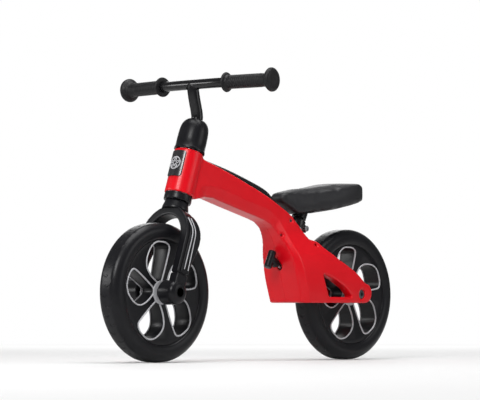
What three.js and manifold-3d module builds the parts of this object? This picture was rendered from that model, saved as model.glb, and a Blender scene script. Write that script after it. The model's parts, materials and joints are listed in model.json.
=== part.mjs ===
// A child's balance bike: a two-half plastic body on a steel spine, a leaned fork, two foam-tyred
// wheels with petal openings, a height-adjustable handlebar and a height-adjustable saddle.
// Millimetres. +X is forward, +Y is the rider's left and +Z is up. The origin is on the ground,
// midway between the two axles.
import * as THREE from 'three';
import { mergeVertices } from 'three/addons/utils/BufferGeometryUtils.js';
import Module from 'manifold-3d';

const wasm = await Module();
wasm.setup();

// ---------------------------------------------------------------- driving dimensions
const WHEELBASE = 520;
const WHEEL_RADIUS = 125;
const TYRE_WIDTH = 47;
const TREAD_WIDTH = 27;
const TYRE_DEPTH = 30;
const RIM_RADIUS = WHEEL_RADIUS - TYRE_DEPTH;
const RIM_WIDTH = 38;
const CORE_HUB_WIDTH = 29;
const PETALS = 5;
const PETAL_TIP = RIM_RADIUS - 5;
const PETAL_ROOT = 22;
const FRONT_WHEEL_PHASE = 2.9;

const AXLE_RADIUS = 4;
const HUB_BORE = AXLE_RADIUS + 7;
const HUB_PLATE_RADIUS = 21.5;
const HUB_PLATE_THICKNESS = 2;
const BEARING_WIDTH = 7;
const NUT_RADIUS = AXLE_RADIUS + 4.4;
const NUT_HEIGHT = 6;

const HEAD_LEAN = 19;
const HEAD_SIDES = 30;
const HEAD_BOTTOM = WHEEL_RADIUS + 61.3;
const HEAD_LENGTH = 84.2;
const HEAD_TOP = HEAD_BOTTOM + HEAD_LENGTH;
const STEM_RADIUS = 11;
const STEERER_INNER = STEM_RADIUS + 0.5;
const STEERER_OUTER = STEERER_INNER + 2.5;
const HEAD_RADIUS = STEERER_OUTER + 13;
const STEERER_TOP = HEAD_TOP + 29.5;
const STEM_BOTTOM = HEAD_BOTTOM + 3.7;
const CUP_HEIGHT = 12.9;
const CUP_BOTTOM = HEAD_BOTTOM - CUP_HEIGHT;
const CUP_RADIUS = HEAD_RADIUS - 1.5;
const COVER_RADIUS = HEAD_RADIUS + 1.5;
const COVER_TOP = HEAD_TOP + 62.5;
const STEM_STRAIGHT = COVER_TOP + 0.5;

const ARCH_CENTRE = WHEEL_RADIUS - 25;
const ARCH_RISE = 62;
const LEG_WIDTH = 17;
const LEG_OUTER = TYRE_WIDTH / 2 + 18.5 + LEG_WIDTH;
const LEG_FRONT = 15;
const LEG_REAR = -10;
const LEG_FOOT = 34;
const BOSS_RADIUS = 22;
const BOSS_INNER = TYRE_WIDTH / 2 + 2.5;
const BOSS_OUTER = LEG_OUTER + 4;

const BAR_RADIUS = 9.2;
const BAR_FORWARD = 31;
const BAR_HEIGHT = COVER_TOP + 58;
const BAR_HALF_LENGTH = 181;
const BAR_SWEEP = 7.6;
const BAR_BEND = 54;
const GRIP_RADIUS = BAR_RADIUS + 3.1;
const GRIP_START = 79;
const GRIP_END = BAR_HALF_LENGTH + 5;
const GRIP_RING_RADIUS = 18.5;
const GRIP_CAP_RADIUS = 22;

const WALL = 3;
const BEAM_HALF_WIDTH = 22;
const ARM_INNER = TYRE_WIDTH / 2 + 3.5;
const ARM_WIDTH = 22;
const LEG_HALF_WIDTH = ARM_INNER + ARM_WIDTH;
const ARM_END_RADIUS = 19;
const WELL_ROOM = 8;
const WHEEL_WELL = WHEEL_RADIUS + WELL_ROOM;
const LEG_DEPTH = 27;
const SPINE_RADIUS = 11;
const SCREW_RADIUS = 1.7;
const SCREW_HEAD = 3.3;
const SCREW_SEAT = BEAM_HALF_WIDTH - 4;

const SEAT_LEAN = 25;
const POST_RADIUS = 9.5;
const POST_BOTTOM = 8;
const POST_TOP = 117;
const SEAT_TUBE_OUTER = POST_RADIUS + 3;
const SEAT_TUBE_BOTTOM = 6;
const COLLAR_HEIGHT = 14;
const COLLAR_TOP = POST_TOP - 19;
const COLLAR_OUTER = SEAT_TUBE_OUTER + 3;
const COLLAR_BOLT_RADIUS = 5.6;
const KNOB_REACH = 40;
const KNOB_LEVEL = -3;
const KNOB_BAR_RADIUS = 7.5;
const KNOB_BAR_LENGTH = 34;
const KNOB_SCREW_RADIUS = 3.5;

const GAP = 0.3;
const SLIDE_FIT = 0.4;

// ---------------------------------------------------------------- places worked out
const degrees = THREE.MathUtils.degToRad;
const frontAxle = new THREE.Vector3(WHEELBASE / 2, 0, WHEEL_RADIUS);
const rearAxle = new THREE.Vector3(-WHEELBASE / 2, 0, WHEEL_RADIUS);

// In the steering frame the axle is the origin, z runs up the steering axis and x points forward.
const steering = new THREE.Matrix4().makeRotationY(-degrees(HEAD_LEAN)).setPosition(frontAxle);

// The body is drawn from the foot of the head, the front of the wheel well, which carries the leg,
// the point midway between these two, and the rear axle.
const headFoot = new THREE.Vector3(0, 0, HEAD_BOTTOM).applyMatrix4(steering);
const wellFront = new THREE.Vector3(rearAxle.x + WHEEL_WELL + LEG_DEPTH, 0, rearAxle.z);
const fromHead = (x, z) => [headFoot.x + x, headFoot.z + z];
const beamMiddle = headFoot.clone().add(wellFront).divideScalar(2);
const fromMiddle = (x, z) => [beamMiddle.x + x, beamMiddle.z + z];
const fromLeg = (x, z) => [wellFront.x + x, wellFront.z + z];
const fromRear = (x, z) => [rearAxle.x + x, rearAxle.z + z];

// In the seat frame z runs up the seat post and x points forward, square to the post.
const [postFootX, postFootZ] = fromLeg(14, 50);
const seating = new THREE.Matrix4()
  .makeRotationY(-degrees(SEAT_LEAN))
  .setPosition(postFootX, 0, postFootZ);
const postHead = new THREE.Vector3(0, 0, POST_TOP).applyMatrix4(seating);
const fromPost = (x, z) => [postHead.x + x, postHead.z + z];

// Wider than the bike on both sides, for cutters that pass right through.
const THROUGH = LEG_HALF_WIDTH + 11;

// The axle nuts sit this far out, in recesses deep enough to hold them.
const frontNutSeat = BOSS_OUTER - NUT_HEIGHT - 3;
const rearNutSeat = LEG_HALF_WIDTH - NUT_HEIGHT - 3;

const bike = new THREE.Group();

// ---------------------------------------------------------------- solids and meshes
// Turns a closed geometry into a solid with its faces pointing out.
function solid(geometry, matrix) {
  const bare = geometry.clone();
  bare.deleteAttribute('normal');
  bare.deleteAttribute('uv');
  if (matrix) bare.applyMatrix4(matrix);
  const merged = mergeVertices(bare, 1e-3);
  const position = merged.attributes.position;
  const corner = (i) => new THREE.Vector3().fromBufferAttribute(position, i);
  const triangles = [];
  let volume = 0;
  for (let i = 0; i < merged.index.count; i += 3) {
    const [a, b, c] = [0, 1, 2].map((k) => merged.index.getX(i + k));
    if (a === b || b === c || c === a) continue;
    triangles.push([a, b, c]);
    volume += corner(a).dot(corner(b).cross(corner(c)));
  }
  const outward = triangles.map(([a, b, c]) => (volume < 0 ? [a, c, b] : [a, b, c]));
  return new wasm.Manifold(new wasm.Mesh({
    numProp: 3,
    vertProperties: new Float32Array(position.array),
    triVerts: new Uint32Array(outward.flat()),
  }));
}

const FINISHES = {
  red: { color: 0xc8001c, roughness: 0.38, metalness: 0 },
  black: { color: 0x17171a, roughness: 0.5, metalness: 0 },
  rubber: { color: 0x141414, roughness: 0.8, metalness: 0 },
  foam: { color: 0x18181a, roughness: 0.65, metalness: 0 },
  gloss: { color: 0x101012, roughness: 0.25, metalness: 0.2 },
  steel: { color: 0xb4b6ba, roughness: 0.35, metalness: 1 },
  grey: { color: 0x9a9a9e, roughness: 0.5, metalness: 0 },
};

// Adds one named mesh made from a solid to a group.
function add(name, shape, finish, group = bike) {
  const { vertProperties, triVerts } = shape.getMesh();
  const geometry = new THREE.BufferGeometry();
  geometry.setAttribute('position', new THREE.BufferAttribute(new Float32Array(vertProperties), 3));
  geometry.setIndex(new THREE.BufferAttribute(new Uint32Array(triVerts), 1));
  geometry.computeVertexNormals();
  const mesh = new THREE.Mesh(geometry, new THREE.MeshStandardMaterial(FINISHES[finish]));
  mesh.name = name;
  group.add(mesh);
  return mesh;
}

// A round bar along one axis, from one coordinate to another.
function bar(radius, from, to, axis = 'z', sides = 16) {
  const geometry = new THREE.CylinderGeometry(radius, radius, to - from, sides);
  geometry.translate(0, (from + to) / 2, 0);
  if (axis === 'z') geometry.rotateX(Math.PI / 2);
  if (axis === 'x') geometry.rotateZ(-Math.PI / 2);
  return geometry;
}

// A body of revolution. Points are [radius, height] pairs, anticlockwise with the axis on the left.
function turned(points, axis = 'z', sides = 24) {
  const touchesAxis = points[0][0] === 0;
  const outline = touchesAxis ? points : [...points, points[0]];
  const geometry = new THREE.LatheGeometry(outline.map(([r, h]) => new THREE.Vector2(r, h)), sides);
  if (axis === 'z') geometry.rotateX(Math.PI / 2);
  return geometry;
}

function ring(inner, outer, from, to, axis = 'z', sides = 18) {
  return turned([[inner, from], [outer, from], [outer, to], [inner, to]], axis, sides);
}

function box(x, y, z) {
  const geometry = new THREE.BoxGeometry(x[1] - x[0], y[1] - y[0], z[1] - z[0]);
  return geometry.translate((x[0] + x[1]) / 2, (y[0] + y[1]) / 2, (z[0] + z[1]) / 2);
}

const shapeOf = (points) => new THREE.Shape(points.map(([x, y]) => new THREE.Vector2(x, y)));

// Extrudes an outline drawn in X and Z along Y.
function alongY(outline, from, to) {
  const options = { depth: to - from, bevelEnabled: false, curveSegments: 5 };
  return new THREE.ExtrudeGeometry(outline, options).rotateX(Math.PI / 2).translate(0, to, 0);
}

// Extrudes an outline drawn in Y and Z along X.
function alongX(outline, from, to) {
  const options = { depth: to - from, bevelEnabled: false, curveSegments: 10 };
  const turn = new THREE.Matrix4().makeBasis(
    new THREE.Vector3(0, 1, 0), new THREE.Vector3(0, 0, 1), new THREE.Vector3(1, 0, 0));
  return new THREE.ExtrudeGeometry(outline, options).applyMatrix4(turn).translate(from, 0, 0);
}

// A round tube or rod swept along a curve.
function swept(curve, radius, steps, sides = 24) {
  const section = new THREE.Shape().absarc(0, 0, radius, 0, 2 * Math.PI);
  const points = section.getSpacedPoints(sides).slice(0, sides);
  return new THREE.ExtrudeGeometry(new THREE.Shape(points), { steps, extrudePath: curve });
}

// Moves each point of a closed outline inwards by a distance.
function inset(points, distance) {
  const area = THREE.ShapeUtils.area(points.map(([x, y]) => new THREE.Vector2(x, y)));
  const side = Math.sign(area);
  return points.map(([x, y], i) => {
    const [px, py] = points.at(i - 1);
    const [nx, ny] = points[(i + 1) % points.length];
    const before = new THREE.Vector2(x - px, y - py).normalize();
    const after = new THREE.Vector2(nx - x, ny - y).normalize();
    const along = before.clone().add(after).normalize();
    const stretch = distance / Math.max(along.dot(before), 0.5);
    return [x - side * along.y * stretch, y + side * along.x * stretch];
  });
}

const spline = (points, count) => new THREE.SplineCurve(
  points.map(([x, y]) => new THREE.Vector2(x, y))).getPoints(count).map((p) => [p.x, p.y]);

function arc(x, y, radius, from, to, count) {
  const curve = new THREE.EllipseCurve(x, y, radius, radius, degrees(from), degrees(to), to < from);
  return curve.getPoints(count).map((p) => [p.x, p.y]);
}

// ---------------------------------------------------------------- wheels
// One petal opening, pointing along +Z, with a straight edge and a bulged edge.
function petalOutline() {
  const tip = PETAL_TIP;
  const shape = new THREE.Shape();
  shape.moveTo(-1.5, PETAL_ROOT);
  shape.bezierCurveTo(6, PETAL_ROOT - 4, 12, PETAL_ROOT - 3, 17, PETAL_ROOT);
  shape.bezierCurveTo(52, tip * 0.38, 49, tip * 0.72, 32, tip - 8);
  shape.quadraticCurveTo(27, tip - 1, 19, tip);
  shape.bezierCurveTo(9, tip + 1, 0, tip + 0.5, -7, tip - 1.5);
  shape.quadraticCurveTo(-14, tip - 4, -12.5, tip - 13);
  shape.closePath();
  return shape;
}

function wheelCore(phase) {
  const hub = CORE_HUB_WIDTH / 2;
  const rim = RIM_WIDTH / 2;
  let core = solid(turned([
    [HUB_BORE + GAP, -hub], [HUB_PLATE_RADIUS, -hub], [RIM_RADIUS - 8, -rim], [RIM_RADIUS, -rim],
    [RIM_RADIUS, rim], [RIM_RADIUS - 8, rim], [HUB_PLATE_RADIUS, hub], [HUB_BORE + GAP, hub],
  ], 'y', 36));
  for (let i = 0; i < PETALS; i += 1) {
    const angle = degrees(360 / PETALS) * i - degrees(phase);
    const cutter = alongY(petalOutline(), -rim - 1, rim + 1).rotateY(angle);
    core = core.subtract(solid(cutter));
  }
  return core;
}

function tyre() {
  const half = TYRE_WIDTH / 2;
  const flat = TREAD_WIDTH / 2;
  const seatRadius = RIM_RADIUS + GAP;
  const side = [[seatRadius, half - 4], [seatRadius + 6, half - 0.6], [WHEEL_RADIUS - 15, half],
    [WHEEL_RADIUS - 6, half - 3.4], [WHEEL_RADIUS, flat]];
  const outer = side.map(([r, y]) => [r, -y]);
  const points = [...outer, ...side.slice().reverse()];
  return solid(turned(points, 'y', 48));
}

// A wheel: tyre, core, two bearings and two hub plates.
function wheel(end, place, phase) {
  const group = new THREE.Group();
  group.position.copy(place);
  add(`${end}_tyre`, tyre(), 'foam', group);
  add(`${end}_wheel_core`, wheelCore(phase), 'black', group);
  for (const [side, sign] of [['left', 1], ['right', -1]]) {
    const face = CORE_HUB_WIDTH / 2;
    const bearing = solid(ring(AXLE_RADIUS + SLIDE_FIT, HUB_BORE, face - BEARING_WIDTH, face, 'y'));
    const plateFrom = face + GAP;
    const plateTo = plateFrom + HUB_PLATE_THICKNESS;
    const plate = solid(ring(AXLE_RADIUS + SLIDE_FIT, HUB_PLATE_RADIUS, plateFrom, plateTo, 'y'));
    for (const [piece, shape, finish] of [['bearing', bearing, 'steel'], ['hub_plate', plate, 'grey']]) {
      const mesh = add(`${end}_${piece}_${side}`, shape, finish, group);
      if (sign < 0) mesh.rotation.z = Math.PI;
    }
  }
  bike.add(group);
}

// The fixed pieces on a wheel's axle, out to the nuts that sit in recesses at a given depth.
function axleSet(end, place, spacerOuter, nutSeat) {
  const group = new THREE.Group();
  group.position.copy(place);
  add(`${end}_axle`, solid(bar(AXLE_RADIUS, -nutSeat, nutSeat, 'y', 14)), 'steel', group);
  const spacerInner = CORE_HUB_WIDTH / 2 + HUB_PLATE_THICKNESS + 2 * GAP;
  for (const [side, sign] of [['left', 1], ['right', -1]]) {
    const spacer = solid(ring(AXLE_RADIUS + GAP, 13, spacerInner, spacerOuter - GAP, 'y', 18));
    const socket = bar(NUT_RADIUS * 0.55, nutSeat + 2.5, nutSeat + NUT_HEIGHT + 2, 'y', 6);
    const nut = solid(bar(NUT_RADIUS, nutSeat + GAP, nutSeat + NUT_HEIGHT, 'y', 16))
      .subtract(solid(socket));
    for (const [piece, shape] of [['spacer', spacer], ['axle_nut', nut]]) {
      const mesh = add(`${end}_${piece}_${side}`, shape, piece === 'spacer' ? 'black' : 'steel', group);
      if (sign < 0) mesh.rotation.z = Math.PI;
    }
  }
  bike.add(group);
}

// ---------------------------------------------------------------- fork and steering column
// The fork's arch drawn in Y and Z: two legs joined by half an ellipse.
function archOutline(outer, rise, width, foot) {
  const shape = new THREE.Shape();
  shape.moveTo(outer, foot);
  shape.lineTo(outer, ARCH_CENTRE);
  shape.absellipse(0, ARCH_CENTRE, outer, rise, 0, Math.PI, false);
  shape.lineTo(-outer, foot);
  shape.lineTo(width - outer, foot);
  shape.lineTo(width - outer, ARCH_CENTRE);
  shape.absellipse(0, ARCH_CENTRE, outer - width, rise - width, Math.PI, 0, true);
  shape.lineTo(outer - width, foot);
  return shape;
}

function forkBody(clearance = 0) {
  const outline = archOutline(LEG_OUTER + clearance, ARCH_RISE + clearance,
    LEG_WIDTH + 2 * clearance, LEG_FOOT - clearance);
  return solid(alongX(outline, LEG_REAR - clearance, LEG_FRONT + clearance));
}

// The cover behind and outside a leg, which bulges rearwards below the crown.
function legFairing() {
  const outline = archOutline(LEG_OUTER + 2.6, ARCH_RISE + 2.6, 15, LEG_FOOT + 2);
  const band = solid(alongX(outline, -30, 30));
  const foot = LEG_FOOT + 3;
  const rear = [[8, ARCH_CENTRE + 18], [4, ARCH_CENTRE + 38], [-5, ARCH_CENTRE + 46],
    [-14, ARCH_CENTRE + 36], [-20, ARCH_CENTRE + 18], [-21, ARCH_CENTRE - 8],
    [-16, ARCH_CENTRE - 32], [-12, foot + 15], [-11.5, foot]];
  const side = solid(alongY(shapeOf([[9, foot], ...spline(rear, 20)]), 0, THROUGH + 20));
  const left = solid(box([-40, 40], [LEG_OUTER - 37, THROUGH + 20], [0, ARCH_CENTRE + 100]));
  return band.intersect(side).intersect(left).subtract(forkBody(GAP));
}

// The round boss at the foot of a leg, with the socket block that carries the leg.
function axleBoss() {
  const legInner = LEG_OUTER - LEG_WIDTH;
  const block = box([LEG_REAR - 2, LEG_FRONT], [legInner - 1, LEG_OUTER + 2], [0, LEG_FOOT - GAP]);
  const drum = turned([[0, BOSS_INNER], [BOSS_RADIUS - 2, BOSS_INNER], [BOSS_RADIUS, BOSS_INNER + 3],
    [BOSS_RADIUS, BOSS_OUTER - 8], [BOSS_RADIUS - 4, BOSS_OUTER - 2], [BOSS_RADIUS - 10, BOSS_OUTER],
    [0, BOSS_OUTER]], 'y', 16);
  const bore = bar(AXLE_RADIUS + GAP, 0, BOSS_OUTER + 1, 'y', 14);
  const recess = bar(NUT_RADIUS + GAP, frontNutSeat, BOSS_OUTER + 1, 'y', 16);
  return solid(drum).add(solid(block)).subtract(solid(bore)).subtract(solid(recess));
}

function fork() {
  const group = new THREE.Group();
  group.applyMatrix4(steering);
  add('fork', forkBody(), 'black', group);
  const crownTop = ARCH_CENTRE + ARCH_RISE;
  const collarFoot = crownTop - 12;
  const collarTop = CUP_BOTTOM - 2 * GAP;
  const wide = CUP_RADIUS - 1.5;
  const taper = [[0, collarFoot], [wide + 1, collarFoot], [wide, crownTop],
    [CUP_RADIUS - 4.5, collarTop], [0, collarTop]];
  const collar = solid(ring(STEERER_OUTER + GAP, wide, collarFoot, collarTop))
    .intersect(solid(turned(taper)))
    .subtract(forkBody(GAP));
  add('crown_collar', collar, 'black', group);
  const steerer = ring(STEERER_INNER, STEERER_OUTER, crownTop + GAP, STEERER_TOP);
  add('steerer_tube', solid(steerer), 'steel', group);
  const mirror = new THREE.Matrix4().makeScale(1, -1, 1);
  for (const [side, flip] of [['left', null], ['right', mirror]]) {
    add(`fork_fairing_${side}`, mirrored(legFairing(), flip), 'black', group);
    add(`axle_boss_${side}`, mirrored(axleBoss(), flip), 'black', group);
  }
  bike.add(group);
}

// A solid's mirror image, or the solid itself where there is no mirror.
function mirrored(shape, matrix) {
  if (!matrix) return shape;
  const { vertProperties, triVerts } = shape.getMesh();
  const geometry = new THREE.BufferGeometry();
  geometry.setAttribute('position', new THREE.BufferAttribute(new Float32Array(vertProperties), 3));
  geometry.setIndex(new THREE.BufferAttribute(new Uint32Array(triVerts), 1));
  return solid(geometry, matrix);
}

// The dome over the head, split at the back, and the clamp ring and bolt inside it.
function stemCover() {
  const top = COVER_TOP;
  const bottom = HEAD_TOP + 1;
  const outer = [[COVER_RADIUS, bottom], [COVER_RADIUS, top - 25],
    ...arc(COVER_RADIUS - 20, top - 21, 20, 0, 80, 4)];
  const neck = STEM_RADIUS + SLIDE_FIT;
  const inner = outer.map(([r, h]) => [Math.max(r - WALL, neck), h === bottom ? h : h - WALL]);
  const shell = solid(turned([...outer, [neck, top], [neck, top - WALL], ...inner.reverse()]));
  const slit = box([-COVER_RADIUS - 2, -15], [-1.2, 1.2], [bottom - 1, top - 28]);
  return shell.subtract(solid(slit));
}

function stemClamp() {
  const from = HEAD_TOP + 5.5;
  const to = STEERER_TOP - 4;
  const outer = STEERER_OUTER + 4;
  const hoop = solid(ring(STEERER_OUTER + GAP, outer, from, to));
  const lug = solid(box([-outer - 4, -outer + 2.5], [-6, 6], [from + 4, to - 4]));
  const slit = solid(box([-outer - 12, 1 - STEERER_OUTER], [-1, 1], [from - 1, to + 1]));
  const bolt = new THREE.Vector3(-outer - 1.8, 0, (from + to) / 2);
  const hole = bar(1.8, -10, 10, 'y', 12).translate(bolt.x, 0, bolt.z);
  return { clamp: hoop.add(lug).subtract(slit).subtract(solid(hole)), bolt };
}

function steeringColumn() {
  const group = new THREE.Group();
  group.applyMatrix4(steering);
  add('stem_cover', stemCover(), 'black', group);
  const { clamp, bolt } = stemClamp();
  add('stem_clamp', clamp, 'steel', group);
  const shank = solid(bar(1.5, -6, 6.5, 'y', 12)).add(solid(bar(2.5, 6 + GAP, 8.8, 'y', 12)));
  add('stem_clamp_bolt', shank, 'steel', group).position.copy(bolt);
  bike.add(group);
}

// ---------------------------------------------------------------- handlebar
function barCurve() {
  const rise = Math.tan(degrees(BAR_SWEEP));
  const back = (y) => -rise * (Math.abs(y) - BAR_BEND);
  const middle = (BAR_HALF_LENGTH + GRIP_START) / 2;
  const half = [[BAR_HALF_LENGTH, back(BAR_HALF_LENGTH)], [middle, back(middle)],
    [GRIP_START, back(GRIP_START)], [BAR_BEND, -0.9], [BAR_BEND - 24, 0]];
  const points = [...half, [0, 0], ...half.slice().reverse().map(([y, x]) => [-y, x])];
  return new THREE.CatmullRomCurve3(points.map(([y, x]) => new THREE.Vector3(x, y, 0)));
}

// The post rises up the steering axis, then curves forward to the underside of the bar.
function stemCurve() {
  const places = [[0, STEM_STRAIGHT], [0, STEM_STRAIGHT + 10], [BAR_FORWARD - 11, BAR_HEIGHT - 29],
    [BAR_FORWARD, BAR_HEIGHT]];
  return new THREE.CubicBezierCurve3(...places.map(([x, z]) => new THREE.Vector3(x, 0, z)));
}

// A rubber grip with a guard ring at its inner end and a mushroom at its outer end.
function grip() {
  const bore = BAR_RADIUS + SLIDE_FIT;
  const end = BAR_HALF_LENGTH / Math.cos(degrees(BAR_SWEEP)) + GAP;
  const profile = [[0, end], [bore, end], [bore, GRIP_START], [GRIP_RING_RADIUS - 1.5, GRIP_START],
    [GRIP_RING_RADIUS, GRIP_START + 2], [GRIP_RING_RADIUS - 1.5, GRIP_START + 4.5],
    [GRIP_RADIUS, GRIP_START + 7], [GRIP_RADIUS, GRIP_END - 16], [GRIP_CAP_RADIUS - 3, GRIP_END - 11],
    [GRIP_CAP_RADIUS, GRIP_END - 7], [GRIP_CAP_RADIUS - 1, GRIP_END - 2.5],
    [GRIP_CAP_RADIUS - 6, GRIP_END], [0, GRIP_END]];
  return solid(turned(profile, 'y', 20));
}

// The bar sweeps back level with the ground, although its post leans.
function handlebar() {
  const group = new THREE.Group();
  group.applyMatrix4(steering);
  const barPlace = new THREE.Matrix4().makeTranslation(BAR_FORWARD, 0, BAR_HEIGHT)
    .multiply(new THREE.Matrix4().makeRotationY(degrees(HEAD_LEAN)));
  const level = new THREE.Group();
  level.applyMatrix4(barPlace);
  group.add(level);
  const rod = solid(swept(barCurve(), BAR_RADIUS, 20, 14), barPlace);
  add('handlebar', rod, 'gloss', group);
  const lower = solid(bar(STEM_RADIUS, STEM_BOTTOM, STEM_STRAIGHT + 0.5, 'z', 16));
  const bend = solid(swept(stemCurve(), STEM_RADIUS - 0.02, 8, 16));
  const saddle = solid(bar(BAR_RADIUS + GAP, -40, 40, 'y', 18), barPlace);
  const above = solid(box([-20, 90], [-30, 30], [BAR_HEIGHT, BAR_HEIGHT + 40]));
  add('stem_post', lower.add(bend).subtract(saddle).subtract(above), 'gloss', group);
  for (const [side, sign] of [['left', 1], ['right', -1]]) {
    const pivot = new THREE.Group();
    const drop = Math.tan(degrees(BAR_SWEEP)) * BAR_BEND;
    pivot.position.set(drop, 0, 0);
    pivot.rotation.z = degrees(sign > 0 ? BAR_SWEEP : 180 - BAR_SWEEP);
    add(`grip_${side}`, grip(), 'rubber', pivot);
    level.add(pivot);
  }
  bike.add(group);
}

// ---------------------------------------------------------------- body
// The side view of the body: beam, leg and rear arm in one outline.
function sideOutline() {
  const beamTop = [
    fromHead(-35.3, 69.8), fromHead(-109.3, 45.8), fromMiddle(-14.7, 113.9), fromLeg(80, 180.5),
    fromLeg(23, 152), fromLeg(4, 138), fromLeg(-12, 120),
  ];
  const shoulder = [
    fromLeg(-26, 104), fromLeg(-35, 101.5), fromLeg(-48, 99), fromLeg(-60, 89),
  ];
  const armTop = [fromRear(61, 65), fromRear(16, 41), fromRear(-8, 22)];
  const legFront = [
    fromLeg(12, 1), fromLeg(20, 27), fromLeg(29, 61), fromLeg(38, 85), fromLeg(48, 105),
    fromLeg(62, 124), fromLeg(80, 134.5),
  ];
  const beamUnder = [fromLeg(98, 140), fromMiddle(23.3, 70.9), fromHead(-74.3, -3.2)];
  const headUnder = [fromHead(-51.3, -2.2), fromHead(-9.3, -9.2), fromHead(32.7, -1.2)];
  const [armX, armZ] = fromRear(-10, 2);
  return [
    ...spline(beamTop, 14), ...spline(shoulder, 5), ...spline(armTop, 5),
    ...arc(armX, armZ, ARM_END_RADIUS, 118, 262, 10), fromLeg(0, -17), fromLeg(7, -16),
    ...spline(legFront, 11), ...spline(beamUnder, 4), ...headUnder,
  ];
}

// The front view of the body: a narrow beam that widens into the leg and the arms.
function frontOutline() {
  const top = headFoot.z + 120;
  const above = (z) => wellFront.z + z;
  const half = [[BEAM_HALF_WIDTH, top], [BEAM_HALF_WIDTH, above(160)],
    ...spline([[BEAM_HALF_WIDTH, above(139)], [BEAM_HALF_WIDTH + 2.5, above(121)],
      [BEAM_HALF_WIDTH + 8, above(103)], [LEG_HALF_WIDTH - 11, above(85)],
      [LEG_HALF_WIDTH - 4, above(65)], [LEG_HALF_WIDTH, above(35)], [LEG_HALF_WIDTH, above(5)]], 10),
    [LEG_HALF_WIDTH - 1.5, above(-21)]];
  return [...half, ...half.slice().reverse().map(([y, z]) => [-y, z])];
}

function spineCurve() {
  const places = [
    fromHead(-27.3, 66.8), fromHead(-52.3, 59.6), fromHead(-111.3, 45.3), fromMiddle(-16.7, 117.4),
    fromLeg(78, 186.5), fromLeg(56, 171), fromLeg(38, 153),
  ];
  return new THREE.CatmullRomCurve3(places.map(([x, z]) => new THREE.Vector3(x, 0, z)));
}

function windowOutline(margin) {
  const corners = [
    fromLeg(-46, 39), fromRear(78, 27), fromRear(48, 12), fromRear(27, -5.5), fromLeg(-63, -5.5),
    fromLeg(-54, 17),
  ];
  return shapeOf(inset(corners, -margin));
}

const atRearAxle = new THREE.Matrix4().makeTranslation(rearAxle);
const screwPlaces = [fromLeg(45, 109), fromLeg(16, 137), fromLeg(-42, 92)];

// The outside of the body, still whole.
function bodyBlock() {
  const side = solid(alongY(shapeOf(sideOutline()), -THROUGH, THROUGH));
  const front = solid(alongX(shapeOf(frontOutline()), rearAxle.x - 60, frontAxle.x));
  const head = solid(bar(HEAD_RADIUS, HEAD_BOTTOM, HEAD_TOP, 'z', HEAD_SIDES), steering);
  const aboveHead = box([-70, 60], [-THROUGH, THROUGH], [HEAD_TOP, HEAD_TOP + 130]);
  const ahead = box([0, 60], [-THROUGH, THROUGH], [0, HEAD_TOP + 130]);
  const underHead = box([-60, 60], [-THROUGH, THROUGH], [HEAD_BOTTOM - 86, HEAD_BOTTOM]);
  return [aboveHead, ahead, underHead]
    .reduce((shape, cut) => shape.subtract(solid(cut, steering)), side.intersect(front))
    .add(head);
}

// The space inside the body, walled off from the rear wheel.
function bodyCavity() {
  const side = solid(alongY(shapeOf(inset(sideOutline(), WALL)), -THROUGH, THROUGH));
  const front = solid(alongX(shapeOf(inset(frontOutline(), WALL)), rearAxle.x - 60, frontAxle.x));
  const headSkin = solid(bar(HEAD_RADIUS + 0.5, HEAD_BOTTOM - 40, HEAD_TOP + 40, 'z', 30), steering);
  const well = solid(ring(WHEEL_WELL - 0.5, WHEEL_WELL + WALL, -THROUGH, THROUGH, 'y', 48), atRearAxle);
  const windowWall = solid(alongY(windowOutline(WALL), -THROUGH, THROUGH));
  let space = side.intersect(front).subtract(headSkin).subtract(well).subtract(windowWall);
  for (const [x, z] of screwPlaces) {
    space = space.subtract(solid(bar(5.2, -THROUGH, THROUGH, 'y', 12).translate(x, 0, z)));
  }
  return space.subtract(solid(bar(15, -THROUGH, THROUGH, 'y', 18), atRearAxle));
}

// Everything that passes through or sits in the body.
function bodyOpenings() {
  const cutters = [
    solid(bar(HEAD_RADIUS - WALL + GAP, HEAD_BOTTOM - 5, HEAD_TOP + 5, 'z', 30), steering),
    solid(bar(WHEEL_WELL, -ARM_INNER, ARM_INNER, 'y', 48), atRearAxle),
    solid(alongY(windowOutline(0), -THROUGH, THROUGH)),
    solid(swept(spineCurve(), SPINE_RADIUS + GAP, 6, 14)),
    solid(bar(COLLAR_OUTER + 1, 30, COLLAR_TOP + 42), seating),
    solid(bar(KNOB_SCREW_RADIUS + 2.5, 0, 60, 'x', 24).translate(0, 0, KNOB_LEVEL), seating),
    solid(bar(AXLE_RADIUS + GAP, -THROUGH, THROUGH, 'y', 14), atRearAxle),
    solid(bar(NUT_RADIUS + 0.8, rearNutSeat, THROUGH, 'y', 16), atRearAxle),
    solid(bar(NUT_RADIUS + 0.8, -THROUGH, -rearNutSeat, 'y', 16), atRearAxle),
  ];
  for (const [x, z] of screwPlaces) {
    cutters.push(solid(bar(SCREW_RADIUS + GAP, -THROUGH, THROUGH, 'y', 12).translate(x, 0, z)));
    cutters.push(solid(bar(SCREW_HEAD + GAP, SCREW_SEAT, THROUGH, 'y', 16).translate(x, 0, z)));
  }
  return cutters;
}

function bodyShells() {
  const block = bodyBlock().subtract(bodyCavity());
  const half = bodyOpenings().reduce((shape, cutter) => shape.subtract(cutter), block);
  const lengthwise = [-WHEELBASE, WHEELBASE];
  const leftSide = solid(box(lengthwise, [GAP / 2, THROUGH], [0, 2 * WHEELBASE]));
  const rightSide = solid(box(lengthwise, [-THROUGH, -GAP / 2], [0, 2 * WHEELBASE]));
  add('left_shell', half.intersect(leftSide), 'red');
  add('right_shell', half.intersect(rightSide), 'red');
}

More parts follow.
